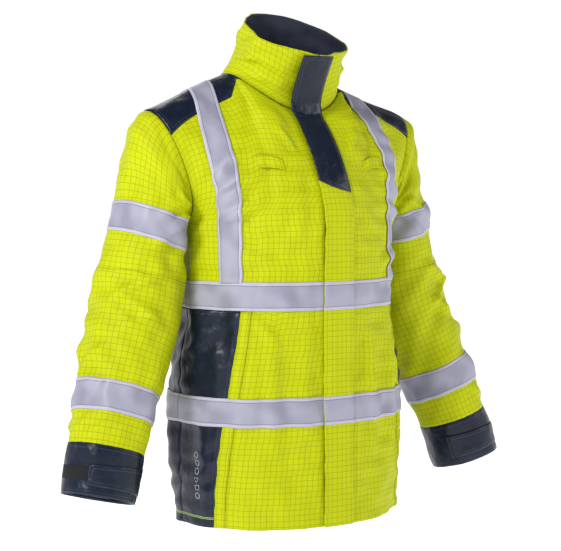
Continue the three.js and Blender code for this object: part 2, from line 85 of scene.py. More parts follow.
HEAD_LEAVE, HEAD_MEET = 0.24, 0.42     # how strongly the sleeve's head bows at its two ends

# Inner and outer face of each layer, off the outer face of the shell (mm).
SHELL = (-1.2, 0.0)
WELT_LAYER = (-0.6, 1.0)
YOKE_LAYER = (-0.2, 1.5)
TAPE_LAYER = (0.9, 2.3)
BRACE_LAYER = (1.9, 3.2)
ARM_TAPE_LAYER = (0.7, 1.6)
FLAP_LAYER = (FLAP_LIFT, FLAP_LIFT + 1.8)
POCKET_LAYER = (-3.6, -2.4)
CHEST_LINING_LAYER = (-4.6, -3.6)
BODY_LINING_LAYER = (-7.4, -6.2)

# Depths of the folds (mm, or times the height given with a crease).
CREASE_SCALE = 2.2
BODY_WAVES = ((2.2, 3, 120, (1, 1, 0.55)), (1.7, 5, 50, (1, 1, 1)))   # depth, seed, length, stretch
SLEEVE_WAVES = ((2.6, 0, 100, (1, 1, 1)), (1.9, 1, 46, (1, 1, 1.6)))
COLLAR_WAVES = ((2.4, 11, 90, (1, 1, 1)), (1.2, 12, 38, (1, 1, 1)))
HEM_WAVE = 2.6

TORSO_RINGS = np.array([
    [0, 212, 178, 141, 2.3],
    [190, 221, 178, 146, 2.3],
    [392, 199, 178, 138, 2.25],
    [522, 206, 178, 136, 2.2],
])
# Distance down the sleeve, x, y, height, half width across and half width front to back.
SLEEVE_AXIS = np.array([
    [0, 258, 30, 533, 63, 84],
    [150, 289, 26, 383, 78, 81],
    [325, 352, -8, 208, 70, 70],
    [402, 378, -23, 132, 66, 66],
    [483, 400, -34, 52, 64, 64],
])
PRESS_START, PRESS_END = 0.78, 150     # flattening where the sleeve lies on the body
# Centre lines of the shoulder tapes: height on the chest, angle from the centre front.
BRACE_LINES = {
    1: np.array([[417, 50], [520, 50], [610, 53], [657, 52], [695, 49], [772, 47]], float),
    -1: np.array([[417, -60], [520, -60], [610, -61], [657, -62], [695, -61], [772, -55]], float),
}


# ------------------------------ small maths
def lerp(a, b, t):
    """Straight mix of a and b."""
    return a + (b - a) * t


def ease(t):
    """Cubic step from 0 to 1."""
    t = np.clip(t, 0, 1)
    return t * t * (3 - 2 * t)


def track(rows, s):
    """Smooth cubic curve through the rows of a table, first column against the others."""
    s = np.asarray(s, float)
    i = np.clip(np.searchsorted(rows[:, 0], s, side="right") - 1, 0, len(rows) - 2)
    a, b = rows[i], rows[i + 1]
    before, after = rows[np.maximum(i - 1, 0)], rows[np.minimum(i + 2, len(rows) - 1)]
    span = (b[..., 0] - a[..., 0])[..., None]
    t = (s - a[..., 0])[..., None] / span
    m0 = span * (b - before) / (b - before)[..., :1]
    m1 = span * (after - a) / (after - a)[..., :1]
    mix = ((2 * t**3 - 3 * t**2 + 1) * a + (t**3 - 2 * t**2 + t) * m0
           + (3 * t**2 - 2 * t**3) * b + (t**3 - t**2) * m1)
    return np.moveaxis(mix[..., 1:], -1, 0)


def arrays(a, b):
    """Two arrays of the same shape from numbers or arrays."""
    return np.broadcast_arrays(np.asarray(a, float), np.asarray(b, float))


def vector(x, y, z):
    """Array of points from three arrays or numbers."""
    return np.stack(np.broadcast_arrays(np.asarray(x, float), y, z), axis=-1)


def bezier(p0, p1, p2, p3, t):
    """Cubic Bezier curve."""
    t = np.asarray(t)[..., None]
    s = 1 - t
    return s**3 * p0 + 3 * s * s * t * p1 + 3 * s * t * t * p2 + t**3 * p3


def unit(v):
    """Vectors scaled to length one."""
    return v / np.maximum(np.linalg.norm(v, axis=-1, keepdims=True), 1e-9)


# ------------------------------ surfaces of the coat
def ring_point(angle, h):
    """Horizontal torso ring: polar superellipse, half width beside, its own depth in front and behind."""
    width, front, back, power = track(TORSO_RINGS, h)
    sine, cosine = np.sin(np.radians(angle)), np.cos(np.radians(angle))
    depth = np.where(cosine >= 0, front, back)
    r = ((np.abs(sine) / width) ** power + (np.abs(cosine) / depth) ** power) ** (-1 / power)
    return vector(r * sine, BODY_Y - r * cosine, h)


def upper_edge(share, front):
    """Neck oval for the first part of each quarter, then the straight shoulder seam."""
    turn = np.radians(90 * np.minimum(share / NECK_SHARE, 1))
    rise = np.where(front, NECK["front"], NECK["back"]) - NECK["side"]
    forward = np.where(front, -1, 1)
    neck = vector(
        NECK["width"] * np.sin(turn),
        NECK["y"] + forward * NECK["depth"] * np.cos(turn),
        NECK["side"] + rise * np.cos(turn) ** 2,
    )
    f = np.clip((share - NECK_SHARE) / (1 - NECK_SHARE), 0, 1)[..., None]
    side = np.array([NECK["width"], NECK["y"], NECK["side"]], float)
    seam = side + (SHOULDER - side) * f
    return np.where((share <= NECK_SHARE)[..., None], neck, seam)


def arrival(share, front):
    """Direction and reach with which each column of cloth meets the upper edge."""
    front = np.asarray(front)[..., None]
    centre = np.where(front, [0, 56, 50], [0, -42, 88])
    side = np.where(front, [0, 76, 16], [0, -82, 16])
    tip = np.where(front, [2, 86, 3], [2, -92, 3])
    inner = lerp(centre, side, ease(share / NECK_SHARE)[..., None])
    outer = lerp(side, tip, np.clip((share - NECK_SHARE) / (1 - NECK_SHARE), 0, 1)[..., None])
    return np.where((share <= NECK_SHARE)[..., None], inner, outer)


def torso(u, v):
    """Torso: rings up to the armpit, then each column is a Bezier curve to the neck or the shoulder.
    u is degrees from the centre front, v climbs, and past TOP it runs on down the back."""
    u, v = arrays(u, v)
    u = np.where(u > 180, u - 360, u)
    side = np.where(u < 0, -1.0, 1.0)
    over = v > TOP
    angle = np.where(over, 180 - np.abs(u), np.abs(u))
    height = np.where(over, 2 * TOP - v, v)
    front = angle <= 90
    share = np.where(front, angle, 180 - angle) / 90
    low = ring_point(angle, np.minimum(height, ARMPIT))
    start = ring_point(angle, np.full(angle.shape, float(ARMPIT)))
    end = upper_edge(share, front)
    straight = np.where(front[..., None], [0, 0, 56], [0, 4, 95])
    curved = np.where(front[..., None], [-3, -78, 10], [-3, 96, 10])
    leave = lerp(straight, curved, (share**4)[..., None])
    t = np.clip((height - ARMPIT) / (TOP - ARMPIT), 0, 1)
    high = bezier(start, start + leave, end - arrival(share, front), end, t)
    p = np.where((height > ARMPIT)[..., None], high, low)
    return sloped(p * vector(side, 1, 1))


def sloped(p, share=1):
    """Points near the neck, raised on the wearer's right and lowered on the left by one sine wave."""
    across = np.sin(np.pi * np.clip(p[..., 0] / SLOPE_SPAN, -1, 1))
    return p - vector(0, 0, NECK_SLOPE * across * ease((p[..., 2] - 620) / 120) * share)


def angle_at(x, v, low=-89.0, high=89.0):
    """u of the torso point with a given x, found by halving."""
    x, v = arrays(x, v)
    low, high = np.full(x.shape, low), np.full(x.shape, high)
    for _ in range(15):
        mid = (low + high) / 2
        less = torso(mid, v)[..., 0] < x
        low, high = np.where(less, mid, low), np.where(less, high, mid)
    return low


def collar(u, v):
    """Collar: straight lines from the neck oval to a tilted oval, bowed outward a little."""
    u, v = arrays(u, v)
    u = np.where(u > 180, u - 360, u)
    side = np.where(u < 0, -1.0, 1.0)
    angle = np.abs(u)
    front = angle <= 90
    seam = upper_edge(NECK_SHARE * np.where(front, angle, 180 - angle) / 90, front)
    turn = np.radians(angle)
    top = vector(
        COLLAR["width"] * np.sin(turn),
        COLLAR["y"] - COLLAR["depth"] * np.cos(turn),
        COLLAR["h"] - COLLAR["tilt"] * np.cos(turn) - COLLAR["lean"] * np.sin(turn) * side,
    )
    bow = COLLAR["bow"] * np.sin(np.pi * v)
    mirror = vector(side, 1, 1)
    seam, top = sloped(seam * mirror), top * mirror
    p = seam + (top - seam) * v[..., None]
    return p + vector(-0.6 * bow * np.sin(turn) * side, bow * np.cos(turn), 0)


def throat(x, v):
    """Chest and collar front by x; past TOP it climbs the collar and curves back with it."""
    x, v = arrays(x, v)
    below = torso(angle_at(x, np.minimum(v, TOP)), np.minimum(v, TOP))
    rise = np.maximum(v - TOP, 0) / COLLAR_RUN
    p = collar(np.full(x.shape, 0.01), rise)
    half = lerp(NECK["width"], COLLAR["width"], rise)
    depth = lerp(NECK["depth"], COLLAR["depth"], rise)
    above = vector(x, p[..., 1] + depth * (1 - np.sqrt(1 - (x / half) ** 2)), p[..., 2])
    return np.where((v > TOP)[..., None], above, below)


def sleeve_frame(v):
    """Centre, half widths and the out, forward and down directions of the sleeve at v."""
    x, y, h, across, deep = track(SLEEVE_AXIS, v)
    down = unit(vector(*track(SLEEVE_AXIS, v + 1)[:3]) - vector(*track(SLEEVE_AXIS, v - 1)[:3]))
    out = unit(np.cross(np.array([0, -1.0, 0]), down))
    return vector(x, y, h), across, deep, out, np.cross(down, out), down


def sleeve_ring(u, v):
    """Oval section square to the sleeve's bent axis, pressed flat on the body side at the top;
    u is 0 in front and 90 outside."""
    centre, across, deep, out, forward, _ = sleeve_frame(v)
    sine, cosine = np.sin(np.radians(u)), np.cos(np.radians(u))
    press = np.where(sine < 0, lerp(PRESS_START, 1, ease(v / PRESS_END)), 1)
    return centre + out * (across * press * sine)[..., None] + forward * (deep * cosine)[..., None]


def sleeve(u, v):
    """Left sleeve: the head is a Bezier loft from the armhole, then rings down to the cuff."""
    u, v = arrays(u, v)
    turn = (u + 90) % 360
    front = turn <= 180
    along = np.where(front, turn, 360 - turn) / 180
    seam = torso(np.where(front, 89.99, 90.01), lerp(ARMPIT, TOP, along))
    first = sleeve_ring(u, np.zeros(v.shape))
    reach = np.linalg.norm(seam - first, axis=-1)[..., None]
    leave = np.array([0.93, 0, -0.3]) * reach * HEAD_LEAVE
    meet = sleeve_frame(np.zeros(v.shape))[5] * reach * HEAD_MEET
    head = bezier(seam, seam + leave, first - meet, first, np.clip(1 + v / CAP, 0, 1))
    return np.where((v >= 0)[..., None], sleeve_ring(u, np.maximum(v, 0)), head)


# ------------------------------ folds of the cloth
def crease(p, a, b, width, height):
    """Ridge from a to b with a shallow valley on each side, faded out towards both ends."""
    a, b = np.array(a, float), np.array(b, float)
    t = ((p - a) @ (b - a)) / ((b - a) @ (b - a))
    near = a + np.clip(t, 0, 1)[..., None] * (b - a)
    far = ((p - near) ** 2).sum(-1) / width**2
    return height * (1 - 1.3 * far) * np.exp(-far) * ease(t / 0.35) * ease((1 - t) / 0.35)


def rumple(p, seed, length, count=14):
    """Smooth unevenness of about 1: the sum of sine waves of seeded directions and lengths."""
    rng = np.random.default_rng(seed)
    total = np.zeros(p.shape[:-1])
    for _ in range(count):
        wave = unit(rng.normal(size=p.shape[-1])) * 2 * np.pi / (length * rng.uniform(0.6, 1.6))
        total += np.sin(p @ wave + rng.uniform(0, 2 * np.pi))
    return total * math.sqrt(2 / count)


def waves(p, rows, seed=0):
    """Sum of rumples of several depths and lengths."""
    return sum(depth * rumple(p * stretch, seed + own, length) for depth, own, length, stretch in rows)


# Creases of the front, in x and height: from, to, half width, height of the ridge (mm).
FRONT_CREASES = [
    ((-205, 540), (-112, 622), 13, 3.6), ((-200, 512), (-118, 566), 12, 3.0),
    ((-206, 575), (-150, 650), 10, 2.2), ((205, 545), (118, 618), 13, 3.4),
    ((202, 512), (130, 556), 12, 2.8), ((-178, 470), (-90, 440), 15, 2.0),
    ((180, 470), (95, 436), 15, 2.2), ((-118, 352), (-128, 70), 20, 2.6),
    ((-70, 345), (-62, 110), 18, 2.0), ((72, 350), (84, 40), 20, 2.6),
    ((128, 350), (146, 90), 20, 2.2), ((-150, 360), (-105, 300), 12, 2.2),
    ((60, 560), (110, 450), 18, 1.8), ((-60, 560), (-105, 440), 18, 1.8),
    ((-90, 690), (-50, 640), 9, 2.2), ((92, 690), (52, 640), 9, 2.2),
]
BACK_CREASES = [
    ((-190, 520), (-90, 610), 15, 4), ((190, 520), (90, 610), 15, 4),
    ((-195, 490), (-110, 520), 14, 3), ((195, 490), (110, 520), 14, 3),
    ((-60, 350), (-75, 60), 22, 3), ((50, 350), (60, 40), 22, 3),
    ((-130, 340), (-150, 80), 20, 3), ((135, 345), (150, 90), 20, 3),
    ((-80, 720), (0, 660), 14, 2.4), ((80, 715), (10, 640), 14, 2.4),
]


def torso_fold(u, v):
    """How far the cloth of the body stands out (mm): long creases, soft rumples and a wavy hem,
    dying away at the zip, the armholes and the neck and shoulder seams."""
    p = torso(u, v)
    signed = (u + 180) % 360 - 180
    height = np.where(v > TOP, 2 * TOP - v, v)
    front = p[..., 1] < BODY_Y
    flat = p[..., [0, 2]]
    fold = np.zeros(p.shape[:-1])
    for rows, here in ((FRONT_CREASES, front), (BACK_CREASES, ~front)):
        fold += np.where(here, CREASE_SCALE * sum(crease(flat, *row) for row in rows), 0)
    fold += waves(p, BODY_WAVES)
    turn = np.radians(signed)
    hem = np.sin(5 * turn + 0.6) + 0.6 * np.sin(9 * turn + 2.1)
    fold += HEM_WAVE * hem * np.exp(-height / 90)
    armhole = ease(np.abs(np.abs(signed) - 90) * TORSO_MM / 50)
    fold *= lerp(1, armhole, ease((height - 440) / 82))
    fold *= lerp(0.1, 1, ease((np.abs(signed) - 6) / 9))     # the zip holds the middle flat
    return fold * ease((TOP - height) / 70)


# Creases of a sleeve, in distance round it (0 outside, minus towards the front) and down it.
SLEEVE_CREASES = [
    ((-150, -70), (-60, 30), 14, 3.4), ((-165, -20), (-70, 66), 13, 3.0),
    ((-110, 92), (-20, 178), 14, 3.6), ((-125, 205), (-30, 150), 12, 3.2),
    ((-120, 165), (-42, 232), 12, 2.8), ((-60, 236), (18, 286), 13, 2.6),
    ((30, 108), (78, 206), 16, 3.0), ((64, 210), (20, 284), 14, 2.6),
    ((-96, 352), (-30, 392), 9, 2.6), ((24, 366), (80, 390), 9, 2.4),
    ((-20, -110), (10, -6), 20, 2.6), ((60, -120), (74, -10), 20, 2.8),
    ((120, -60), (70, 40), 14, 3.2), ((150, 120), (96, 190), 14, 3.4),
    ((-40, 352), (8, 392), 8, 2.0), ((-10, 60), (-6, 150), 20, 2.2),
]


def sleeve_fold(u, v, seed):
    """Folds of a sleeve (mm), drawn on the cloth and dying away at the armhole and the cuff."""
    turn = (u + 90) % 360 - 180
    cloth = np.stack([turn * SLEEVE_MM, v], axis=-1)
    fold = CREASE_SCALE * sum(crease(cloth, *row) for row in SLEEVE_CREASES)
    around = vector(np.cos(np.radians(u)) * 70, np.sin(np.radians(u)) * 70, v * 0.6)
    fold = fold + waves(around, SLEEVE_WAVES, seed)
    calm = lerp(0.35, 1, ease((CUFF_START + 4 - v) / 60))
    return fold * calm * ease((v + CAP) / 55)


# Creases of the collar, in mm round it from the centre front and mm up it.
COLLAR_CREASES = [
    ((-190, 30), (-80, 70), 11, 5), ((-200, 62), (-110, 96), 10, 4), ((-150, 0), (-60, 34), 9, 4),
    ((60, 20), (130, 76), 10, 4), ((80, 70), (170, 40), 10, 3.4), ((-240, 40), (-200, 100), 11, 4),
]


def collar_fold(u, v):
    """Bends of the stand collar (mm), none at its seam."""
    p = collar(u, v)
    signed = (u + 180) % 360 - 180
    flat = np.stack([signed * 1.75, v * 110], axis=-1)
    bent = sum(crease(flat, *row) for row in COLLAR_CREASES)
    return (bent + waves(p, COLLAR_WAVES)) * ease(v / 0.3)


# ------------------------------ surfaces with their folds
def normals(surface, u, v, ends, step=(0.5, 0.75)):
    """Outward normals by central differences that stay inside ends = (u0, u1, v0, v1)."""
    u0, u1, v0, v1 = ends
    ua, ub = np.maximum(u - step[0], u0), np.minimum(u + step[0], u1)
    va, vb = np.maximum(v - step[1], v0), np.minimum(v + step[1], v1)
    return unit(np.cross(surface(ub, v) - surface(ua, v), surface(u, vb) - surface(u, va)))


def torso_ends(u, v):
    """Limits on the torso: front and back halves part at the armholes, and the neck is open."""
    signed = (u + 180) % 360 - 180
    middle = np.where(np.abs(signed) <= 90, 0, np.where(signed < 0, -180, 180))
    split = np.where(v > ARMPIT - 3, 89.9, 91.5)
    over = (np.abs(signed) > 90 * NECK_SHARE + 1) & (np.abs(signed) < 90)
    return middle - split, middle + split, 3 * HEM, np.where(over, 2 * TOP, TOP)


def body_skin(u, v):
    """Torso with its folds."""
    u, v = arrays(u, v)
    signed = (u + 180) % 360 - 180
    out = normals(torso, signed, v, torso_ends(u, v))
    return torso(signed, v) + out * torso_fold(signed, v)[..., None]


def collar_skin(u, v):
    """Collar with its soft bends."""
    u, v = arrays(u, v)
    steps = (COLLAR["open"], 360 - COLLAR["open"], 0, 1)
    out = unit(np.cross(
        collar(np.minimum(u + 0.5, steps[1]), v) - collar(np.maximum(u - 0.5, steps[0]), v),
        collar(u, np.minimum(v + 0.01, 1)) - collar(u, np.maximum(v - 0.01, 0)),
    ))
    return collar(u, v) + out * collar_fold(u, v)[..., None]


def throat_skin(x, v):
    """Centre front from the hem up the chest, over the neck seam and up the collar."""
    x, v = arrays(x, v)
    low = np.minimum(v, TOP)
    return np.where((v > TOP)[..., None], throat(x, v), body_skin(angle_at(x, low), low))


def sleeve_skin(seed):
    """Sleeve of the wearer's left with the folds of one seed."""
    def skin(u, v):
        u, v = arrays(u, v)
        out = -normals(sleeve, u, v, (-np.inf, np.inf, -CAP, CUFF_END))
        return sleeve(u, v) + out * sleeve_fold(u, v, seed)[..., None]
    return skin


# ------------------------------ cloth pieces
DIP_REACH, PUCKER_REACH = 3.5, 9       # how far a seam pulls the cloth in, and puckers it
NO_EDGE = 1e3                          # distance that stands for no edge near
LEAST_AREA = 0.31                      # least share of its flat rectangle that a sheet may state


def lengths(p, axis):
    """Distance along the cloth from its first row or column to each point."""
    steps = np.linalg.norm(np.diff(p, axis=axis), axis=-1)
    first = np.zeros_like(np.take(steps, [0], axis=axis))
    return np.cumsum(np.concatenate([first, steps], axis=axis), axis=axis)


def cloth(name, skin, ends, place, size, layers, look, nodes, ring=False, sign=1, seam=0.7,
          side=1, chart=None, hem=False, edges="all", step=(0.5, 0.75)):
    """Closed thin sheet. place(q, r) gives the two parameters of skin over a unit grid of size
    columns and rows; layers are its inner and outer face along the normal. Towards each sewn
    edge the cloth dips by seam mm and puckers. The UV map is in millimetres along the cloth, and
    the attribute edge is the distance to the nearest edge."""
    q, r = np.meshgrid(np.linspace(0, 1, size[0] + 1), np.linspace(0, 1, size[1] + 1))
    u, v = arrays(*place(q, r))
    base = skin(u, v)
    limits = ends(u, v) if callable(ends) else ends
    out = normals(skin, u, v, limits, step) * sign
    across, along = lengths(base, 1), lengths(base, 0)
    sides = np.full(u.shape, NO_EDGE) if ring else np.minimum(across, across[:, -1:] - across)
    ends_off = np.minimum(along, along[-1:] - along)
    if hem:
        ends_off = along[-1:] - along
    border = {"all": np.minimum(sides, ends_off), "rows": ends_off, "columns": sides,
              "first": along, "none": np.full(u.shape, NO_EDGE)}[edges]
    pucker = np.where(sides < ends_off, np.sin(along / 2.9), np.sin(across / 3.1))
    dip = seam * (np.exp(-border / DIP_REACH) + 0.35 * pucker * np.exp(-border / PUCKER_REACH))
    inner, outer = (base + out * (layer - dip)[..., None] for layer in layers)
    rows, cols = u.shape
    point = np.arange(rows * cols).reshape(rows, cols)
    if ring:
        point[:, -1] = point[:, 0]
    a, b, c, d = point[:-1, :-1], point[:-1, 1:], point[1:, 1:], point[1:, :-1]
    under = rows * cols
    front = np.stack([a, b, c, d], -1).reshape(-1, 4)
    back = np.stack([a, d, c, b], -1).reshape(-1, 4) + under
    rims = [(point[0, :-1], point[0, 1:]), (point[-1, 1:], point[-1, :-1])]
    if not ring:
        rims += [(point[1:, 0], point[:-1, 0]), (point[:-1, -1], point[1:, -1])]
    rim = np.concatenate([np.stack([i + under, j + under, j, i], -1) for i, j in rims])
    faces = np.concatenate([front, back, rim])
    points = np.concatenate([outer.reshape(-1, 3), inner.reshape(-1, 3)]) * [side, 1, 1]
    chart = chart(u, v, across, along) if chart else (across - across[:, :1], along)
    full = np.arange(rows * cols).reshape(rows, cols)      # not closed, so the UV map has a seam
    corner = np.stack([full[:-1, :-1], full[:-1, 1:], full[1:, 1:], full[1:, :-1]], -1).reshape(-1, 4)
    flat = np.stack(chart, -1).reshape(-1, 2)
    rim_uv = np.concatenate([np.stack([i, j, j, i], -1) for i, j in rims])
    uv_index = np.concatenate([corner, corner[:, ::-1][:, [3, 0, 1, 2]], rim_uv])
    if sign * side < 0:
        faces, uv_index = faces[:, ::-1], uv_index[:, ::-1]
    piece = surface_mesh(name, points, faces, flat[uv_index.ravel()], np.tile(border.ravel(), 2),
                         len(rim))
    finish_piece(piece, look, nodes)
    width, length = float(across[:, -1].max()) / 1000, float(along[-1].max()) / 1000
    up, right = base[1:, :-1] - base[:-1, :-1], base[:-1, 1:] - base[:-1, :-1]
    area = float(np.linalg.norm(np.cross(up, right), axis=-1).sum()) / 1e6
    area = min(max(area, LEAST_AREA * width * length), width * length)
    piece["cut"] = [width, length, area]
    return piece


def surface_mesh(name, points, faces, uv, border, flat_faces=0):
    """Mesh object from points in mm above the hem, four-sided faces, UVs in mm and edge distances;
    the last flat_faces faces are the cut edges of the cloth, which aren't shaded smooth."""
    mesh = bpy.data.meshes.new(name)
    used = np.unique(faces)
    index = np.zeros(len(points), int)
    index[used] = np.arange(len(used))
    place = (points[used] - [0, LOOP_Y, LOOP_HEIGHT]) / 1000
    faces = index[faces]
    mesh.vertices.add(len(place))
    mesh.vertices.foreach_set("co", place.astype(np.float32).ravel())
    mesh.loops.add(faces.size)
    mesh.loops.foreach_set("vertex_index", faces.astype(np.int32).ravel())
    mesh.polygons.add(len(faces))
    mesh.polygons.foreach_set("loop_start", np.arange(0, faces.size, 4, dtype=np.int32))
    mesh.update(calc_edges=True)
    mesh.polygons.foreach_set("use_smooth", np.arange(len(faces)) < len(faces) - flat_faces)
    layer = mesh.uv_layers.new(name="cloth")
    layer.data.foreach_set("uv", uv.astype(np.float32).ravel())
    edge = mesh.attributes.new("edge", "FLOAT", "POINT")
    edge.data.foreach_set("value", border[used].astype(np.float32))
    mesh.validate()
    piece = bpy.data.objects.new(name, mesh)
    bpy.context.scene.collection.objects.link(piece)
    return piece


def finish_piece(piece, look, nodes):
    """Gives the piece its material and hides the CAD nodes that it takes the place of."""
    material, slot = look
    piece.data.materials.append(material)
    if nodes:
        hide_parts(*nodes)


# ------------------------------ materials
WHITE = (1, 1, 1, 1)
GRID_PITCH, GRID_LINE = 10.0, 0.95     # mm; the real thread is 0.3 mm wide, drawn coarser to show


def rgb(hexcode):
    """sRGB hex to linear RGBA."""
    c = np.array([int(hexcode[i:i + 2], 16) for i in (1, 3, 5)]) / 255
    return (*np.where(c <= 0.04045, c / 12.92, ((c + 0.055) / 1.055) ** 2.4), 1.0)


def feed(tree, target, sockets):
    """Gives each input of a node a value, or links it to the output that feeds it."""
    for key, value in sockets.items():
        if isinstance(value, bpy.types.NodeSocket):
            tree.links.new(value, target.inputs[key])
        else:
            target.inputs[key].default_value = value


def node(tree, kind, sockets=None, **settings):
    """Adds a node with its settings and the values or outputs for its inputs."""
    made = tree.nodes.new(kind)
    for key, value in settings.items():
        setattr(made, key, value)
    feed(tree, made, sockets or {})
    return made


def maths(tree, operation, *values):
    """Result of a sum on outputs and numbers."""
    return node(tree, "ShaderNodeMath", dict(enumerate(values)), operation=operation).outputs[0]


def noise(tree, place, scale, detail=2.0):
    """Noise from 0 to 1, finer as the scale grows."""
    sockets = {"Vector": place, "Scale": scale, "Detail": detail}
    return node(tree, "ShaderNodeTexNoise", sockets).outputs[0]


def object_place(tree):
    """Place in the piece's own metres."""
    return node(tree, "ShaderNodeTexCoord").outputs["Object"]


def material(name):
    """Empty node material with its principled shader."""
    made = bpy.data.materials.new(name)
    made.use_nodes = True
    tree = made.node_tree
    return made, tree, tree.nodes["Principled BSDF"]


def sewn_map(tree):
    """The two coordinates along the cloth in mm, and the distance to the nearest edge in mm."""
    uv = node(tree, "ShaderNodeUVMap", uv_map="cloth").outputs["UV"]
    split = node(tree, "ShaderNodeSeparateXYZ", {0: uv})
    edge = node(tree, "ShaderNodeAttribute", attribute_name="edge", attribute_type="GEOMETRY")
    return uv, split.outputs["X"], split.outputs["Y"], edge.outputs["Fac"]


def repeated_line(tree, coordinate, pitch, width):
    """1 on thin lines of a width that repeat at a pitch along a coordinate in mm."""
    turns = maths(tree, "DIVIDE", coordinate, pitch)
    part = maths(tree, "FRACT", turns)
    off = maths(tree, "SUBTRACT", part, 0.5)
    far = maths(tree, "ABSOLUTE", off)
    return maths(tree, "LESS_THAN", far, width / pitch / 2)


def line_at(tree, distance, place, width):
    """1 on one line at a distance in mm."""
    return maths(tree, "COMPARE", distance, place, width / 2)


def stitches(tree, distance, place, run, stitch=3.2):
    """Thread of a lockstitch at a distance from the edge: stitches along the coordinate run."""
    line = line_at(tree, distance, place, 1.1)
    turns = maths(tree, "DIVIDE", run, stitch)
    part = maths(tree, "FRACT", turns)
    on = maths(tree, "LESS_THAN", part, 0.78)
    return maths(tree, "MULTIPLY", line, on)


def mixed(tree, share, a, b):
    """Colour a with colour b laid over it by share."""
    return node(tree, "ShaderNodeMix", {0: share, 6: a, 7: b}, data_type="RGBA").outputs[2]


def crumple(tree, sizes, strengths, normal=None):
    """Bump of noise of several sizes in mm, strongest first."""
    place = object_place(tree)
    for size, strength in zip(sizes, strengths):
        height = noise(tree, place, 1000 / size, 3.0)
        sockets = {"Height": height, "Strength": strength, "Distance": size / 1000 * 0.12}
        if normal is not None:
            sockets["Normal"] = normal
        normal = node(tree, "ShaderNodeBump", sockets).outputs[0]
    return normal


def fluorescent_cloth():
    """Fluorescent antistatic polyester, woven and coated inside: matt, so bright that its shaded
    side stays strongly yellow-green, with a dark conductive thread every 10 mm both ways."""
    made, tree, shader = material("fluorescent_antistatic_polyester")
    uv, x, y, edge = sewn_map(tree)
    upright = repeated_line(tree, x, GRID_PITCH, GRID_LINE)
    level = repeated_line(tree, y, GRID_PITCH, GRID_LINE)
    grid = maths(tree, "MAXIMUM", upright, level)
    patchy = noise(tree, uv, 0.02)
    base = mixed(tree, patchy, rgb("#c2ca0c"), rgb("#b3bd06"))
    faint = maths(tree, "MULTIPLY", grid, 0.42)
    base = mixed(tree, faint, base, rgb("#3d490f"))
    thread = stitches(tree, edge, 2.2, y)
    thread = maths(tree, "MULTIPLY", thread, 0.5)
    feed(tree, shader, {
        "Base Color": mixed(tree, thread, base, rgb("#7c880e")),
        "Normal": crumple(tree, (60, 22, 7, 1.6), (0.55, 0.35, 0.16, 0.08)),
        "Roughness": 0.6,
        "Specular IOR Level": 0.12,
    })
    return made


def navy_cloth(name, hem_thread=False):
    """Navy coated polyamide: dark, smooth and half glossy, so that each crumple catches light."""
    made, tree, shader = material(name)
    uv, x, y, edge = sewn_map(tree)
    patchy = noise(tree, uv, 0.05)
    base = mixed(tree, patchy, rgb("#0a1220"), rgb("#111d33"))
    rows = [(stitches(tree, edge, 2.4, y), "#2f3a50"), (stitches(tree, edge, 7.5, y), "#2c374c")]
    if hem_thread:
        rows += [(stitches(tree, y, 15.0, x), "#a9d36a"), (stitches(tree, y, 17.4, x), "#a9d36a")]
    for row, colour in rows:
        base = mixed(tree, row, base, rgb(colour))
    feed(tree, shader, {
        "Base Color": base,
        "Normal": crumple(tree, (50, 17, 1.3), (0.9, 0.6, 0.10)),
        "Roughness": 0.36,
        "Specular IOR Level": 0.3,
    })
    return made


def reflective_tape():
    """Glass-bead reflective tape on cloth: even silver-lilac, paler along its uncovered borders,
    held by a row of stitches near each edge."""
    made, tree, shader = material("glass_bead_reflective_tape")
    uv, _, _, edge = sewn_map(tree)
    beads = noise(tree, uv, 0.9, 1.0)
    base = mixed(tree, beads, rgb("#9a99ab"), rgb("#a3a2b5"))
    sheen = noise(tree, uv, 0.016, 1.0)
    sheen = node(tree, "ShaderNodeMapRange", {"Value": sheen, "From Min": 0.42, "From Max": 0.60})
    base = mixed(tree, sheen.outputs[0], base, rgb("#8b8a9d"))     # beads return light unevenly
    border = maths(tree, "LESS_THAN", edge, 5.6)
    base = mixed(tree, border, base, rgb("#b3b1c3"))
    seam = line_at(tree, edge, 6.2, 1.5)
    part = maths(tree, "MULTIPLY", seam, 0.55)
    feed(tree, shader, {
        "Base Color": mixed(tree, part, base, rgb("#525160")),
        "Normal": crumple(tree, (26, 1.4), (0.22, 0.10)),
        "Roughness": 0.48,
    })
    return made


def plain_cloth(name, dark, light, thread_pitch, rough, bumps):
    """Cloth of one colour in two shades of thread, such as a lining twill or a hook strip."""
    made, tree, shader = material(name)
    _, x, y, _ = sewn_map(tree)
    slant = maths(tree, "ADD", x, y)
    twill = repeated_line(tree, slant, thread_pitch, thread_pitch * 0.45)
    feed(tree, shader, {
        "Base Color": mixed(tree, twill, rgb(dark), rgb(light)),
        "Normal": crumple(tree, bumps, (0.4, 0.3)),
        "Roughness": rough,
    })
    return made


def zip_plastic():
    """Moulded polyacetal zip: black, half matt, with a tooth every 2.5 mm."""
    made, tree, shader = material("moulded_polyacetal_zip")
    place = object_place(tree)
    height = node(tree, "ShaderNodeSeparateXYZ", {0: place}).outputs["Z"]
    height = maths(tree, "MULTIPLY", height, 1000.0)
    tooth = repeated_line(tree, height, 2.5, 1.2)
    bump = node(tree, "ShaderNodeBump", {"Height": tooth, "Strength": 0.6, "Distance": 0.0006})
    feed(tree, shader, {
        "Base Color": mixed(tree, tooth, rgb("#101114"), rgb("#2b2c31")),
        "Normal": bump.outputs[0],
        "Roughness": 0.42,
    })
    return made


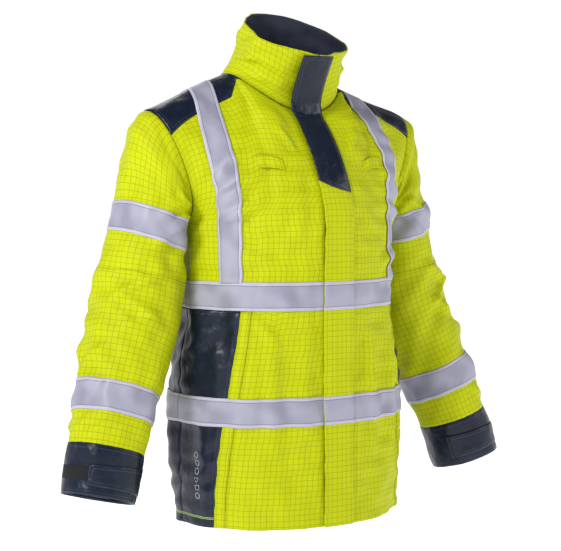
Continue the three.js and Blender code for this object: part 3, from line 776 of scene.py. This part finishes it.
def brass():
    """Die-cast brass slider, tumbled: warm metal with faint scratches."""
    made, tree, shader = material("tumbled_brass")
    place = object_place(tree)
    scratch = noise(tree, place, 900.0, 4.0)
    colour = mixed(tree, scratch, rgb("#a8864a"), rgb("#c9a763"))
    feed(tree, shader, {"Base Color": colour, "Metallic": 1.0, "Roughness": 0.34})
    return made


def printed_grey():
    """Screen-printed marks: pale grey ink, matt, worn thin in places."""
    made, tree, shader = material("screen_printed_ink")
    place = object_place(tree)
    worn = noise(tree, place, 260.0, 3.0)
    colour = mixed(tree, worn, rgb("#8f979c"), rgb("#c9cfd2"))
    feed(tree, shader, {"Base Color": colour, "Roughness": 0.7})
    return made


# ------------------------------ the coat, piece by piece
def gap_angle(mm):
    """Angle on the torso of a width in mm."""
    return np.degrees(mm / 200)


def panel_border(v):
    """Front border of the dark side panel on the wearer's left."""
    t = np.minimum(v / WAIST, 1)
    return lerp(67.5, 54.5, (ease(t) + t) / 2)


def yoke_edge(u):
    """Lower edge of the shoulder yoke: lowest at the armhole and level at the neck."""
    share = np.clip((np.abs(u) / 90 - NECK_SHARE) / (1 - NECK_SHARE), 0, 1)
    return TOP - lerp(58, 78, share**2)


def panel_top(u):
    """Upper edge of a chest or back panel: the neck seam, then just under the yoke's edge."""
    share = np.clip((np.abs(u) - YOKE_NECK) / (YOKE_INNER - YOKE_NECK), 0, 1)
    edge = lerp(TOP, yoke_edge(np.maximum(np.abs(u), YOKE_INNER)), share)
    return np.minimum(edge + 8, TOP - 0.3)


def border(edge, at):
    """Value of a border, which is a number or a function."""
    return edge(at) if callable(edge) else edge


def patch(left, right, v0, v1, side=1):
    """Place function of a torso patch between two borders u(v), from v0 up to v1 or v1(u)."""
    def place(q, r):
        q = q if side > 0 else 1 - q
        v = lerp(v0, border(v1, lerp(border(left, v0), border(right, v0), q)), r)
        return side * lerp(border(left, v), border(right, v), q), v
    return place


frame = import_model()

YELLOW = (fluorescent_cloth(), "hi_vis_fabric")
NAVY = (navy_cloth("navy_coated_polyamide"), "navy_fabric")
NAVY_HEM = (navy_cloth("navy_coated_polyamide_hemmed", hem_thread=True), "navy_fabric")
SILVER = (reflective_tape(), "reflective_tape")
LINING = (plain_cloth("dark_lining_twill", "#171d2c", "#222b40", 1.8, 0.75, (60, 14)), "lining_fabric")
HOOKS = (plain_cloth("nylon_hook_and_loop", "#0d0e11", "#1b1c21", 1.4, 0.95, (3, 1.2)), "hook_and_loop")
INK = (printed_grey(), "reflective_tape")
SIDES = (("left", 1), ("right", -1))
MIDWAIST = WAIST + TAPE / 2
THROAT_ENDS = (-60, 60, 3 * HEM, TOP + COLLAR_RUN + 1)


def worn(body, *args, **more):
    """Cloth that rides on one body."""
    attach(cloth(*args, **more), body)


def on_body(name, place, *args, **more):
    """Cloth on the torso that stays with the body."""
    worn("body", name, body_skin, torso_ends, place, *args, **more)


def span(u0, u1, v0, v1):
    """Place function of a plain rectangle."""
    return lambda q, r: (lerp(u0, u1, q), lerp(v0, v1, r))


def zip_edge(v):
    """Front edge of each chest panel, beside the zip."""
    return angle_at(5.5, v)


def make_body():
    """Chest, skirts, side panels, welts, back and shoulder yokes."""
    welt = lambda v: panel_border(v) - gap_angle(WELT)
    low = dict(hem=True)
    for name, side in SIDES:
        for piece, node_name, place, size, layers, look, more in (
            ("chest_panel", "chest", (zip_edge, ARMHOLE, MIDWAIST, panel_top), (72, 92), SHELL, YELLOW, {}),
            ("skirt_panel", "front_skirt", (zip_edge, welt, HEM, MIDWAIST), (44, 92), SHELL, YELLOW, low),
            ("welt", "pocket_welt", (lambda v: welt(v) + 0.1, panel_border, HEM, WAIST), (6, 84),
             WELT_LAYER, YELLOW, low),
            ("side_front", "side_panel_front", (panel_border, 89.9, HEM, WAIST), (28, 84), SHELL,
             NAVY_HEM, low),
            ("side_back", "side_panel_back", (90.1, 122, HEM, WAIST), (30, 84), SHELL, NAVY_HEM, low),
        ):
            on_body(f"{name}_{piece}", patch(*place, side), size, layers, look,
                    [f"{name}_{node_name}"], **more)
        on_body(f"{name}_yoke", yoke_place(side), (40, 60), YOKE_LAYER, NAVY,
                [f"{name}_shoulder_yoke"])
    on_body("lower_back_panel", patch(122, 238, HEM, MIDWAIST), (110, 92), SHELL, YELLOW,
            ["lower_back"], hem=True)
    on_body("upper_back_panel", patch(90.2, 269.8, MIDWAIST, lambda u: panel_top(180 - u)),
            (136, 92), SHELL, YELLOW, ["upper_back"])


def yoke_place(side):
    """Yoke: its rows run from the neck out to the armhole, over the shoulder from front to back.
    The inner border climbs slanting to the neck seam and follows it to the shoulder line."""
    turn = 0.35                            # share of the rows that meets the neck seam
    def place(q, r):
        q = q if side > 0 else 1 - q
        fold = np.abs(2 * r - 1)
        climb = np.clip((1 - fold) / (1 - turn), 0, 1)
        seam = np.clip((turn - fold) / turn, 0, 1)
        inner_u = lerp(lerp(YOKE_INNER, YOKE_NECK, climb), 90 * NECK_SHARE + 0.5, seam)
        inner_v = lerp(yoke_edge(YOKE_INNER), TOP - 0.3 * (1 - seam), climb)
        u = lerp(inner_u, ARMHOLE, q)
        v = lerp(inner_v, lerp(TOP, yoke_edge(ARMHOLE), fold), q)
        bend = yoke_edge(u) - lerp(yoke_edge(YOKE_INNER), yoke_edge(ARMHOLE), q)
        v = v + bend * fold**3
        return side * u, np.where(r > 0.5, 2 * TOP - v, v)
    return place


def make_linings():
    """Body lining, its continuation up to the neck, and the pocket bags behind the welts."""
    on_body("lining_of_body", span(-180, 180, 12, ARMPIT - 6), (120, 60), BODY_LINING_LAYER, LINING,
            ["body_lining"], ring=True)
    for name, centre in (("front", 0), ("back", 180)):
        on_body(f"lining_of_{name}_chest", span(centre - 88, centre + 88, ARMPIT - 6, TOP - 3),
                (60, 36), CHEST_LINING_LAYER, LINING, [])
    for name, side in SIDES:
        on_body(f"{name}_pocket_lining", patch(
            lambda v: panel_border(v) - gap_angle(WELT) - 28, lambda v: panel_border(v) + 2, 110, 300, side,
        ), (24, 24), POCKET_LAYER, LINING, [f"{name}_pocket_bag"])


def make_collar():
    """Stand collar, its lining and the hanging loop inside the back of the neck."""
    ends = (COLLAR["open"], 360 - COLLAR["open"], 0, 1)
    around = span(*ends)
    for name, layers, look, node_name in (
        ("stand_collar", (-1.4, 0.3), YELLOW, "collar_outer"),
        ("stand_collar_lining", (-3.6, -1.7), LINING, "collar_lining"),
    ):
        worn("body", name, collar_skin, ends, around, (150, 30), layers, look, [node_name],
             edges="rows", step=(0.5, 0.01))

    def strap(a, b):
        sag = np.cos(a * np.pi / 2)            # the strap bows forward and down between its ends
        return vector(a * 30, LOOP_Y + 3 - 8 * sag, LOOP_HEIGHT + b * 4 - 3 * sag)

    worn("body", "hanger_strap", strap, (-1, 1, -1, 1), span(-1, 1, -1, 1), (40, 6), (-0.6, 0.6),
         HOOKS, ["hanging_loop"], step=(0.02, 0.02))


FLAP_DROP, FLAP_SLOPE = 3.6, (25, 32)   # how far the flap slopes in, and between which x


def flap_skin(x, v):
    """Front of the coat, rounded where it turns up into the collar, and sloping in towards the
    flap's sewn edge, where the flap lies close."""
    x, v = arrays(x, v)
    base = throat_skin(x, v)
    near = np.abs(v - TOP) < 60
    if near.any():
        part_x, part_v = x[near], v[near]
        around = [throat_skin(part_x, np.clip(part_v + off, 0, TOP + COLLAR_RUN))
                  for off in (-28, -14, 14, 28)]
        share = ease(1 - np.abs(part_v - TOP) / 60)[..., None]
        base[near] = lerp(base[near], (sum(around) + base[near]) / 5, share)
    return base + vector(0, FLAP_DROP * ease((x - FLAP_SLOPE[0]) / (FLAP_SLOPE[1] - FLAP_SLOPE[0])), 0)


def make_flaps():
    """Storm flap over the zip, navy throat flap above it, and the storm flap's fastening."""
    chevron = lambda x: lerp(CHEVRON_FREE, CHEVRON_SEWN, (x - FLAP_FREE) / (FLAP_SEWN - FLAP_FREE))
    width = lambda q: lerp(FLAP_FREE, FLAP_SEWN, q)
    top_layer = (FLAP_LAYER[0] + 0.6, FLAP_LAYER[1] + 0.6)
    lower = cloth("storm_flap_front", flap_skin, THROAT_ENDS,
                  lambda q, r: (width(q), lerp(HEM, chevron(width(q)), r)),
                  (18, 150), FLAP_LAYER, YELLOW, ["storm_flap"], hem=True)
    worn("body", "throat_flap_front", flap_skin, THROAT_ENDS,
         lambda q, r: (width(q), lerp(chevron(width(q)) - 1, TOP + COLLAR_RUN, r)),
         (18, 84), top_layer, NAVY, ["throat_flap"])
    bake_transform(lower)
    strip = span(FLAP_FREE + 3, FLAP_FREE + 20, 20, 520)
    for body, name, layers, node_name in (
        ("storm_flap", "storm_flap_hooks", (FLAP_LIFT - 2.2, FLAP_LIFT - 1), "flap_hook_strip"),
        ("body", "front_loops", (0.6, 1.8), "flap_loop_strip"),
    ):
        worn(body, name, throat_skin, THROAT_ENDS, strip, (5, 60), layers, HOOKS, [node_name], seam=0.2)


TAPED = dict(edges="rows", seam=0.3)    # sewn along both long edges, hardly drawn in


def make_tapes():
    """Reflective tapes round the body, on the flap and over the shoulders."""
    for part, bottom in (("waist", WAIST), ("hip", HIP)):
        top = bottom + TAPE
        for end, left, right, columns in (
            ("left", lambda v: angle_at(FLAP_SEWN - 1, v), 90, 96),
            ("right", -90, lambda v: angle_at(FLAP_FREE + 8, v), 96),
            ("back", 90, 270, 150),
        ):
            on_body(f"{part}_band_{end}", patch(left, right, bottom, top), (columns, 16), TAPE_LAYER,
                    SILVER, [f"{part}_tape_{end}"], **TAPED)
        worn("storm_flap", f"{part}_band_flap", flap_skin, THROAT_ENDS,
             span(FLAP_FREE, FLAP_SEWN - 2, bottom, top), (18, 16),
             (FLAP_LAYER[1] - 0.1, FLAP_LAYER[1] + 0.8), SILVER, [f"{part}_tape_flap"], **TAPED)
    for name, side in SIDES:
        def over(q, r):
            v = lerp(WAIST + TAPE - 2, 2 * TOP - (WAIST + TAPE - 2), r)
            middle = track(BRACE_LINES[side], np.where(v > TOP, 2 * TOP - v, v))[0]
            degree = np.linalg.norm(torso(middle + 0.5, v) - torso(middle - 0.5, v), axis=-1)
            return middle + (q - 0.5) * BRACE / degree, v
        on_body(f"{name}_shoulder_band", over, (14, 190), BRACE_LAYER, SILVER,
                [f"{name}_brace_tape"], edges="columns", seam=0.3,
                chart=lambda u, v, across, along: (along, across))


def make_chest_straps():
    """Flat gear straps sewn across the chest, bowed a little between their ends."""
    for name, side in SIDES:
        def strap(u, v):
            out = normals(body_skin, u, v, torso_ends(u, v))
            bow = 3.6 * np.cos(np.pi * np.clip((np.abs(u) - 34) / 17, -0.5, 0.5))
            return body_skin(u, v) + out * bow[..., None]
        place = lambda q, r: (side * (lerp(25.6, 42.4, q if side > 0 else 1 - q)), lerp(610, 626, r))
        worn("body", f"{name}_gear_strap", strap, torso_ends, place, (30, 8), (0.4, 1.8), YELLOW,
             [f"{name}_chest_loop"], seam=0.3)


def make_sleeves():
    """Sleeves in two lengths, their tapes, cuffs, tabs and loop patches."""
    for name, side in SIDES:
        skin = sleeve_skin(21 if side > 0 else 31)
        ends = (-np.inf, np.inf, -CAP, CUFF_END)
        chart = lambda u, v, across, along: ((u - 450) * SLEEVE_MM, -v)
        skew = 11 if side < 0 else 5       # how much higher the band sits on the outside
        all_round = lambda v0, v1: span(270, 630, v0, v1)

        def skewed(q, r):
            u, v = all_round(0, TAPE)(q, r)
            return u, v - skew * np.sin(np.radians(u))

        def on_arm(part, place, size, layers, look, *nodes, **more):
            return cloth(f"{name}_{part}", skin, ends, place, size, layers, look,
                         [f"{name}_{node_name}" for node_name in nodes], sign=-1, side=side, **more)

        taped = dict(ring=True, **TAPED)
        upper = on_arm("sleeve_upper", all_round(-CAP + 0.5, ELBOW_START), (84, 60), SHELL, YELLOW,
                       "sleeve_cap", "upper_sleeve", ring=True, chart=chart, edges="first")
        lower = on_arm("sleeve_lower", all_round(ELBOW_START, CUFF_START), (84, 62), SHELL, YELLOW,
                       "elbow", "forearm", ring=True, chart=chart, seam=0, edges="none")
        band_upper = on_arm("band_upper_arm", skewed, (84, 14), ARM_TAPE_LAYER, SILVER,
                            "upper_sleeve_tape", **taped)
        band_lower = on_arm("band_forearm", all_round(LOWER_BAND, LOWER_BAND + TAPE), (84, 14),
                            ARM_TAPE_LAYER, SILVER, "lower_sleeve_tape", **taped)
        cuff = on_arm("cuff_band", all_round(CUFF_START - 1, CUFF_END), (84, 24), (-1.6, 1.0), NAVY,
                      "cuff", ring=True, edges="rows")
        tapered = lambda q, r: (lerp(-55, 50, q), CUFF_START + lerp(lerp(22, 30, q), lerp(68, 64, q), r))
        tab = on_arm("tab", tapered, (36, 14), (1.8, 3.4), NAVY, "cuff_tab")
        loops = on_arm("tab_loops", span(46, 108, CUFF_START + 34, CUFF_START + 56), (20, 8),
                       (1.0, 1.8), HOOKS, "cuff_loop_patch", seam=0.2)
        for piece in (upper, band_upper):
            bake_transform(piece)
        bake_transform(lower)
        for piece in (band_lower, cuff, loops):
            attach(piece, f"{name}_lower_arm")
        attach(tab, f"{name}_cuff_tab")


def make_marks():
    """Six plain printed outlines up the right side panel: ring, square, triangle and so on."""
    for i, corners in enumerate((0, 4, 3, 6, 0, 5)):
        def place(q, r):
            turn = -2 * np.pi * q
            reach = lerp(4.6, 5.7, r)
            if corners:
                half = np.pi / corners
                reach = reach * np.cos(half) / np.cos((turn + half) % (2 * half) - half) * 1.12
            return -(76.5 + gap_angle(reach * np.sin(turn))), 40 + 14.5 * i + reach * np.cos(turn)
        on_body(f"side_mark_{i + 1}", place, (36, 1), (0.3, 0.6), INK, [], ring=True, seam=0,
                edges="none")


def finish_zip():
    """The zip's own solids keep their shape and get their finishes."""
    plastic, metal = zip_plastic(), brass()
    for name, look in (("left_zip_half", plastic), ("right_zip_half", plastic),
                       ("zip_slider", metal), ("zip_pull", metal)):
        piece = frame["nodes"][name]
        if not piece.material_slots:
            piece.data.materials.append(look)
        for slot in piece.material_slots:
            slot.material = look


NARROWEST = 0.012                      # metres; narrower pieces are trims, too small for a sheet


def declare_sheets():
    """Reads the size each cloth piece was cut to and compares its narrower side with NARROWEST, without
    using the result.
    """
    for piece in [o for o in bpy.data.objects if o.get("cut")]:
        width, length, area = piece["cut"]
        min(width, length) >= NARROWEST


make_body()
make_linings()
make_collar()
make_flaps()
make_tapes()
make_chest_straps()
make_sleeves()
make_marks()
finish_zip()
declare_sheets()


# ------------------------------ floor, light and camera
def plain(name, colour, rough):
    """Matt paint of one even colour for the floor, lit from within far from the coat."""
    made, tree, shader = material(name)
    place = object_place(tree)
    far = node(tree, "ShaderNodeVectorMath", {0: place}, operation="LENGTH").outputs["Value"]
    glow = node(tree, "ShaderNodeMapRange", {
        "Value": far, "From Min": 1.0, "From Max": 1.8, "To Min": 0.0, "To Max": 0.9,
    }, interpolation_type="SMOOTHSTEP").outputs[0]
    feed(tree, shader, {
        "Base Color": mixed(tree, noise(tree, place, 3.0), rgb(colour), WHITE),
        "Roughness": rough,
        "Emission Strength": glow,
        "Emission Color": WHITE,
    })
    return made


def make_stage():
    """Pale floor well below the coat."""
    mesh = bpy.data.meshes.new("floor")
    reach, level = 12.0, -1.25
    mesh.from_pydata([(-reach, -reach, level), (reach, -reach, level), (reach, reach, level),
                      (-reach, reach, level)], [], [(0, 1, 2, 3)])
    floor = bpy.data.objects.new("floor", mesh)
    floor.data.materials.append(plain("matt_floor_paint", "#f0f0f0", 0.9))
    bpy.context.scene.collection.objects.link(floor)


def lamp(name, place, target, size, power):
    """Square soft light at a place, aimed at a target."""
    light = bpy.data.lights.new(name, "AREA")
    light.size, light.energy = size, power
    lamp_object = bpy.data.objects.new(name, light)
    lamp_object.location = place
    direction = Vector(target) - Vector(place)
    lamp_object.rotation_euler = direction.to_track_quat("-Z", "Y").to_euler()
    bpy.context.scene.collection.objects.link(lamp_object)


def make_lights():
    """Room bright round the horizon and dimmer above, a soft key upper left, a fill on the right."""
    world = bpy.data.worlds.new("white_room")
    world.use_nodes = True
    tree = world.node_tree
    way = node(tree, "ShaderNodeTexCoord").outputs["Generated"]
    height = node(tree, "ShaderNodeSeparateXYZ", {0: way}).outputs["Z"]
    height = maths(tree, "ABSOLUTE", height)
    strength = node(tree, "ShaderNodeMapRange", {
        "Value": height, "From Min": 0.16, "From Max": 0.42, "To Min": 1.02, "To Max": 0.16,
    }, interpolation_type="SMOOTHSTEP").outputs[0]
    feed(tree, tree.nodes["Background"], {"Color": WHITE, "Strength": strength})
    bpy.context.scene.world = world
    middle = (0, -0.08, -0.35)
    lamp("key", (-2.5, -0.9, 1.4), middle, 0.7, 68)
    lamp("fill", (2.2, -1.7, 0.7), middle, 1.0, 21)
    lamp("rim", (0.6, 2.4, 1.4), middle, 1.2, 16)


def make_camera():
    """Camera to the coat's right front, a little above its middle."""
    azimuth, elevation, distance = math.radians(-33.3), math.radians(3.6), 3.10
    middle = np.array([0, -LOOP_Y / 1000, (417.6 - LOOP_HEIGHT) / 1000])
    back = np.array([
        math.sin(azimuth) * math.cos(elevation),
        -math.cos(azimuth) * math.cos(elevation),
        math.sin(elevation),
    ])
    camera = bpy.data.cameras.new("camera")
    camera.sensor_width, camera.lens = 36, 108.5
    camera.shift_x = -0.006
    camera.clip_end = 60
    eye = bpy.data.objects.new("camera", camera)
    eye.location = middle + back * distance
    eye.rotation_euler = Vector(-back).to_track_quat("-Z", "Y").to_euler()
    bpy.context.scene.collection.objects.link(eye)
    bpy.context.scene.camera = eye


make_stage()
make_lights()
make_camera()
bpy.context.scene.view_settings.view_transform = "Standard"
